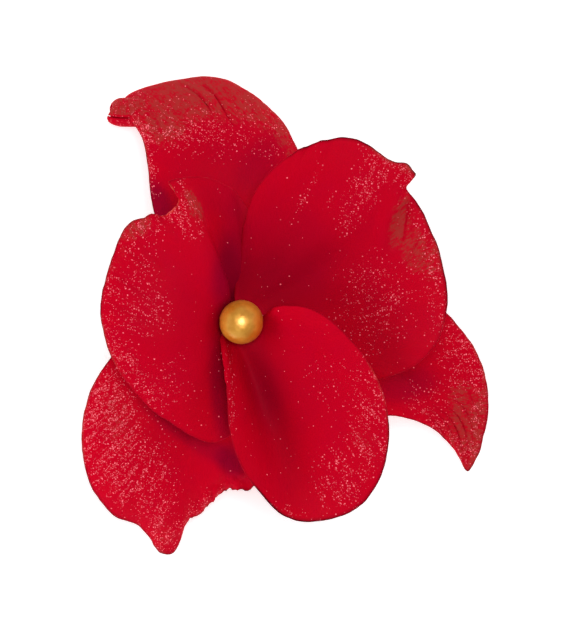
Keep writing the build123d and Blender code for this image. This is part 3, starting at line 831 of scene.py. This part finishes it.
def shell(grid, half, shared):
    """A closed sheet about a middle surface. Where a point is shared, both faces use it."""
    rows, cols = shared.shape
    normal = surface_normal(grid)
    upper = np.arange(rows * cols).reshape(rows, cols)
    lower = upper.copy()
    lower[~shared] = rows * cols + np.arange((~shared).sum())
    top = np.where(shared[..., None], grid, grid + normal * half[..., None])
    bottom = (grid - normal * half[..., None])[~shared]
    quads = []
    for ids, flip in ((upper, False), (lower, True)):
        q = np.stack([ids[:-1, :-1], ids[:-1, 1:], ids[1:, 1:], ids[1:, :-1]], -1).reshape(-1, 4)
        quads.append(q[:, ::-1] if flip else q)
    if not shared[1:-1, 0].any():
        quads.append(np.stack([upper[:-1, 0], upper[1:, 0], lower[1:, 0], lower[:-1, 0]], -1))
    faces = [tuple(dict.fromkeys(f)) for f in np.concatenate(quads).tolist()]
    return np.concatenate([top.reshape(-1, 3), bottom]), [f for f in faces if len(f) > 2]


def paint(obj, uv, **values):
    """Per-point values that the clay material reads, and the flow lines as a UV map."""
    mesh = obj.data
    for name, value in values.items():
        attribute = mesh.attributes.new(name, "FLOAT", "POINT")
        attribute.data.foreach_set("value", np.asarray(value, np.float32))
    loops = np.empty(len(mesh.loops), np.int32)
    mesh.loops.foreach_get("vertex_index", loops)
    layer = mesh.uv_layers.new(name="flow")
    layer.data.foreach_set("uv", np.asarray(uv)[loops].astype(np.float32).ravel())


def tip_scroll():
    """The end of the rolled tip of the upper left petal, a sheet wound once round on itself."""
    steps, wound_mm, long_mm, edge_round = 90, 13.0, 6.4, 0.25
    turn = np.radians(np.linspace(112, -242, steps))
    length = np.linspace(0, 1, 26)
    wound = np.linspace(0, 1, steps)
    radius = 2.60 - 0.20 * wound ** 1.3
    x = -17.6 - 6.9 * length[None]
    flare = 1 - 0.45 * np.clip((length[None] - 0.60) / 0.40, 0, 1) ** 2.8
    lean = 0.25 * np.sin(3 * turn)[:, None] * step(0.6, 1, length[None])
    r = (radius[:, None] + lean * 0.3) * flare
    bow = 0.5 * np.cos(turn)[:, None] * step(0.7, 1.0, length[None])
    grid = np.stack([
        x + bow * 0.6 + 0.25 * np.sin(2 * turn)[:, None] * length[None],
        38.65 + 0.1 * length[None] + r * np.cos(turn)[:, None],
        5.7 - 0.6 * length[None] + r * np.sin(turn)[:, None],
    ], -1)
    edge = np.minimum(wound, np.linspace(1, 0, steps))[:, None] * wound_mm
    edge = np.minimum(edge, long_mm * np.minimum(length, 1 - length)[None])
    half = HALF_EDGE * np.sqrt(1 - (1 - np.clip(edge / edge_round, 0, 1)) ** 2)
    shared = np.zeros(half.shape, bool)
    shared[0], shared[-1], shared[:, 0], shared[:, -1] = True, True, True, True
    return grid, half, shared


def open_share(name, rim_points):
    """How far each point of a margin, 0 to 1, has no other petal beside it in plan. It looks
    a little outside the margin, and evens the answer out over some neighbours."""
    outside, neighbours = 0.9, 7
    x, y = (rim_points + unit(rim_points) * outside).T
    covered = np.zeros(len(x), bool)
    for other, spec in PETALS.items():
        if other == name:
            continue
        outline = np.array([rib[:2] for rib in spec["ribs"]] + [(0, 0)], float)
        inside = np.zeros(len(x), bool)
        for (ax, ay), (bx, by) in zip(outline, np.roll(outline, -1, axis=0)):
            if ay != by:
                level = (ay > y) != (by > y)
                inside ^= level & (x < ax + (y - ay) * (bx - ax) / (by - ay))
        covered |= inside
    padded = np.pad(covered.astype(float), neighbours // 2, mode="edge")
    return 1 - np.convolve(padded, np.ones(neighbours) / neighbours, "valid")


def with_scroll(verts, faces, values, uv):
    """The upper left petal's mesh and its values with the scroll at its tip added. The painted
    sheen is on the scroll's upper and outer part."""
    more, more_faces = shell(*tip_scroll())
    start = len(verts)
    verts = np.concatenate([verts, more])
    faces = faces + [tuple(i + start for i in face) for face in more_faces]
    painted_sheen_part = (more[:, 2] > 5.2) & (more[:, 1] > 38.2)
    added = dict(reach=0.9, rim=0.0, glitter=0.35, dust=1.1 * painted_sheen_part, groove=0.0, deep=0.0,
                 cut=0.0)
    for key, value in added.items():
        more_values = np.broadcast_to(value, len(more))
        values[key] = np.concatenate([values[key], more_values])
    return verts, faces, values, np.concatenate([uv, more[:, :2]])


def petal_piece(name, spec, material):
    """One petal: its surface, wrinkled and thickened, and the values its material reads."""
    grid, reach, along_mm = petal_surface(spec)
    focus = np.array(spec["focus"])
    away = grid[..., :2] - focus
    flow = (np.arctan2(away[..., 1], away[..., 0]) * 26, np.linalg.norm(away, axis=-1))
    lines, groove = crease_lines(spec.get("creases", []), grid[..., 0], grid[..., 1])
    height = wrinkle(spec, grid, reach, flow) + lines
    grid = grid + surface_normal(grid) * height[..., None]
    # Thickness: even in the body, thinned towards every free edge, rounded at the edge.
    from_margin = (1 - reach) * (along_mm / np.maximum(reach, 1e-9))
    from_margin[:, 0] = WELL_INSIDE
    from_first = np.linalg.norm(grid - grid[:1], axis=-1)
    from_last = np.linalg.norm(grid - grid[-1:], axis=-1)
    edge = np.minimum(from_margin, np.minimum(from_first, from_last))
    body = HALF_EDGE + (HALF_THICK - HALF_EDGE) * step(0, 7, edge)
    half = body * np.sqrt(1 - (1 - np.clip(edge / EDGE_ROUND, 0, 1)) ** 2)
    shared = np.zeros(reach.shape, bool)
    shared[0], shared[-1], shared[:, -1] = True, True, True
    verts, faces = shell(grid, half, shared)
    x, y = grid[..., 0], grid[..., 1]
    deep = patches(spec.get("deep", []), x, y)
    parts = dict(
        reach=reach,
        # The rim's painted shade is left out where the patches of painted shade lie.
        rim=np.exp(-((from_margin / 0.34) ** 2)) * (1 - np.clip(1.6 * deep, 0, 1)),
        glitter=patches(spec.get("glitter", []), x, y),
        dust=patches(spec.get("dust", []), x, y) * (1 - 0.9 * groove),
        groove=groove,
        deep=deep,
        cut=np.exp(-((from_margin / 0.26) ** 2)) * open_share(name, grid[:, -1, :2])[:, None],
    )
    # The back's share of each value: little glitter, no painted sheen or grooves, a little painted
    # shade, the same margins.
    back = dict(reach=1.0, rim=1.0, glitter=0.2, dust=0.0, groove=0.0, deep=0.15, cut=1.0)
    values = {k: np.concatenate([v.ravel(), v[~shared] * back[k]]) for k, v in parts.items()}
    uv = np.stack(flow, -1)
    uv = np.concatenate([uv.reshape(-1, 2), uv[~shared]])
    if name == "petal_outer_upper_left":
        verts, faces, values, uv = with_scroll(verts, faces, values, uv)
    obj = piece(name + "_shaped", verts, faces, material, "flower", [name])
    paint(obj, uv, **values)
    return obj


# ---- the rest of the flower

def arc(centre, radius, start, end, count):
    angle = np.radians(np.linspace(start, end, count))
    return np.stack([centre[0] + radius * np.cos(angle), centre[1] + radius * np.sin(angle)], 1)


def pearl_piece(material):
    """A bead with its threading hole across the flower, the hole's rims rounded over."""
    radius, hole, rim = 4.0, 0.5, 0.22
    tilt = math.degrees(math.asin((hole + rim) / (radius - rim * 0.4)))
    outside = arc((0, 0), radius, 180 - tilt, tilt, 80)
    profile = [(r, x) for x, r in outside]
    ends = outside[-1][0]
    profile += [(hole + 0.05, ends - 0.02), (hole, ends - 0.30), (hole, 0.0),
                (hole, 0.30 - ends), (hole + 0.05, 0.02 - ends)]
    verts, faces = revolve(profile, (0, 0, 23.2), "X", 128, 0.003, 5)
    return piece("pearl_bead_shaped", verts, faces, material, "flower", ["pearl_bead"])


def core_piece(material):
    """The hand-pressed clay button under the pearl, hollowed for it at the top."""
    seat = arc((0, 23.2), 4.03, -90, -30.5, 14)
    profile = [(0.02, 12.0), (7.7, 12.0), (7.95, 12.15), (7.95, 12.4), (7.6, 12.58), (5.6, 12.6),
               (4.3, 12.75), (3.8, 13.2), (3.68, 14.2), (3.62, 16.5), (3.6, 19.0), (3.6, 20.6),
               (3.58, 21.0)]
    profile += [(max(r, 0.02), z) for r, z in seat[::-1]]
    verts, faces = revolve(profile, (0, 0, 0), "Z", 120, 0.02, 8)
    obj = piece("flower_core_shaped", verts, faces, material, "flower", ["flower_core"])
    turn = np.arctan2(verts[:, 1], verts[:, 0]) * 4
    flat = np.zeros(len(verts))
    # The core is painted in full shade.
    paint(obj, np.stack([turn, verts[:, 2]], 1), reach=flat + 0.1, rim=flat, glitter=flat + 0.05,
          dust=flat, groove=flat, deep=flat + 1)
    return obj


def felt_piece(material):
    """A disc cut by hand from 1.5 mm felt, its edge soft and its faces slightly uneven."""
    rings, segments, radius = 46, 260, 15.0
    low, high = 10.5, 12.0
    angle = np.linspace(0, 2 * np.pi, segments, endpoint=False)
    cut = radius * (1 + 0.006 * gradient_noise(4 * np.cos(angle) + 9, 4 * np.sin(angle), 31))
    cut -= 0.10 * np.abs(gradient_noise(30 * np.cos(angle) + 9, 30 * np.sin(angle), 32))
    spread = np.linspace(0.02, 1, rings) ** 0.8
    edge_drop = 0.36
    sheets = []
    for face, sign in ((high, 1), (low, -1)):
        r = np.outer(spread, cut - 0.25)
        x, y = r * np.cos(angle), r * np.sin(angle)
        fuzz = 0.045 * gradient_noise(x / 0.5, y / 0.5, 33 + sign)
        fuzz += 0.05 * gradient_noise(x / 2.2, y / 2.2, 35 + sign)
        z = face - sign * (0.10 + edge_drop * step(0.93, 1.0, spread)[:, None]) + fuzz
        sheets.append(np.stack([x, y, np.broadcast_to(z, x.shape)], -1))
    mid = np.stack([cut * np.cos(angle), cut * np.sin(angle),
                    0 * angle + (low + high) / 2], -1)[None]
    shells = np.concatenate([sheets[0], mid, sheets[1][::-1]])
    faces = tube_faces(len(shells), segments)
    faces[-1] = faces[-1][::-1]  # the lower face goes round the other way
    obj = piece("felt_disc_shaped", shells, faces, material, "flower", ["felt_disc"])
    return obj


def glue_piece(material):
    """Hot-melt glue squeezed out between the felt and the clip, with a rounded, uneven edge."""
    n, rings = 220, 9
    half_length, half_width = 12.5, 5.75
    turn = np.linspace(0, 2 * np.pi, n, endpoint=False)
    flat = half_length - half_width
    x = half_width * np.cos(turn) + flat * np.tanh(6 * np.cos(turn))
    y = half_width * np.sin(turn)
    reach = 1 + 0.05 * gradient_noise(3 * np.cos(turn) + 5, 3 * np.sin(turn), 41) - 0.04
    low, high = 10.0, 10.5
    rounding = np.radians(np.linspace(-90, 90, rings))
    shells = []
    for a in rounding:
        inset = 0.45 * (1 - math.cos(a))
        share = 1 - inset / half_width
        z = (low + high) / 2 + (high - low) / 2 * math.sin(a)
        shells.append(np.stack([x * reach * share, y * reach * share, 0 * x + z], -1))
    return piece("clip_glue_pad_shaped", np.concatenate(shells), tube_faces(rings, n), material,
                 "flower", ["clip_glue_pad"])


# ---- the clip

def eased_copy(node, material, body, width):
    """The stamped part with its sharp edges broken, as tumbling leaves them."""
    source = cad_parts[node]
    mesh = source.data.copy()
    work = bmesh.new()
    work.from_mesh(mesh)
    bmesh.ops.remove_doubles(work, verts=work.verts, dist=2e-6)
    bmesh.ops.dissolve_limit(work, angle_limit=math.radians(0.6), verts=work.verts,
                             edges=work.edges)
    work.to_mesh(mesh)
    work.free()
    mesh.materials.clear()
    mesh.materials.append(material)
    obj = bpy.data.objects.new(node + "_eased", mesh)
    bpy.context.scene.collection.objects.link(obj)
    bevel = obj.modifiers.new("bevel", "BEVEL")
    bevel.width = width * MM
    bevel.segments = 2
    bevel.limit_method = "ANGLE"
    bevel.angle_limit = math.radians(32)
    bevel.harden_normals = True
    mesh.polygons.foreach_set("use_smooth", [True] * len(mesh.polygons))
    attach(obj, body)
    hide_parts(node)
    return obj


PIVOT = (7.5, 6.0)  # the rivet's axis, x and z
WIRE, COIL, PITCH, TURNS, LEG = 0.35, 2.0, 0.85, 4.5, 9.0  # WIRE and COIL are radii


def spring_piece(material):
    """The torsion spring: a coil round the rivet and two straight legs towards the tails."""
    top_z, low_z = 10.0 - 0.8 - WIRE - 0.06, 0.8 + WIRE + 0.16

    def tangent(far_z, turn):
        rise = far_z - PIVOT[1]
        return math.atan2(rise, LEG) + turn * math.acos(COIL / math.hypot(LEG, rise))

    start, stop = tangent(top_z, 1), tangent(low_z, -1)
    turns = math.floor(TURNS) + ((stop - start) % (2 * math.pi)) / (2 * math.pi)
    height = turns * PITCH
    angle = start + np.linspace(0, turns * 2 * math.pi, 260)
    y = height / 2 - PITCH * (angle - start) / (2 * math.pi)
    coil = np.stack([PIVOT[0] + COIL * np.cos(angle), y, PIVOT[1] + COIL * np.sin(angle)], 1)
    first, last = unit(coil[0] - coil[1]), unit(coil[-1] - coil[-2])
    run = np.linspace(0, LEG, 14)[1:, None]
    path = np.concatenate([(coil[0] + first * run)[::-1], coil, coil[-1] + last * run])
    tangents = unit(np.gradient(path, axis=0))
    across = unit(np.cross(tangents, [0, 1, 0]))
    other = np.cross(tangents, across)
    sides = 20
    turn = np.linspace(0, 2 * np.pi, sides, endpoint=False)
    verts, radii = [], np.full(len(path), WIRE)
    radii[0] = radii[-1] = WIRE * 0.8
    for p, a, b, r in zip(path, across, other, radii):
        verts.append(p + r * (np.outer(np.cos(turn), a) + np.outer(np.sin(turn), b)))
    faces = tube_faces(len(verts), sides)
    obj = piece("torsion_spring_wound", np.concatenate(verts), faces, material, None,
                ["torsion_spring"])
    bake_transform(obj)
    return obj


# ---- the scene

make_camera()
make_stage()

clay = clay_material("petal_clay")
for petal_name, petal_spec in PETALS.items():
    petal_piece(petal_name, petal_spec, clay)
core_piece(clay)
pearl_piece(pearl_material())
glue_piece(glue_material())
felt_piece(felt_material())
plated = steel_material("nickel_plate", (0.80, 0.77, 0.72), 0.24)
eased_copy("clip_fixed_arm", plated, "flower", 0.10)
eased_copy("clip_moving_arm", plated, "jaw", 0.10)
eased_copy("hinge_pin", steel_material("rivet_steel", (0.70, 0.69, 0.67), 0.30), "flower",
           0.06)
spring_piece(steel_material("spring_wire", (0.62, 0.61, 0.60), 0.28, (0.4, 1.0, 0.4)))
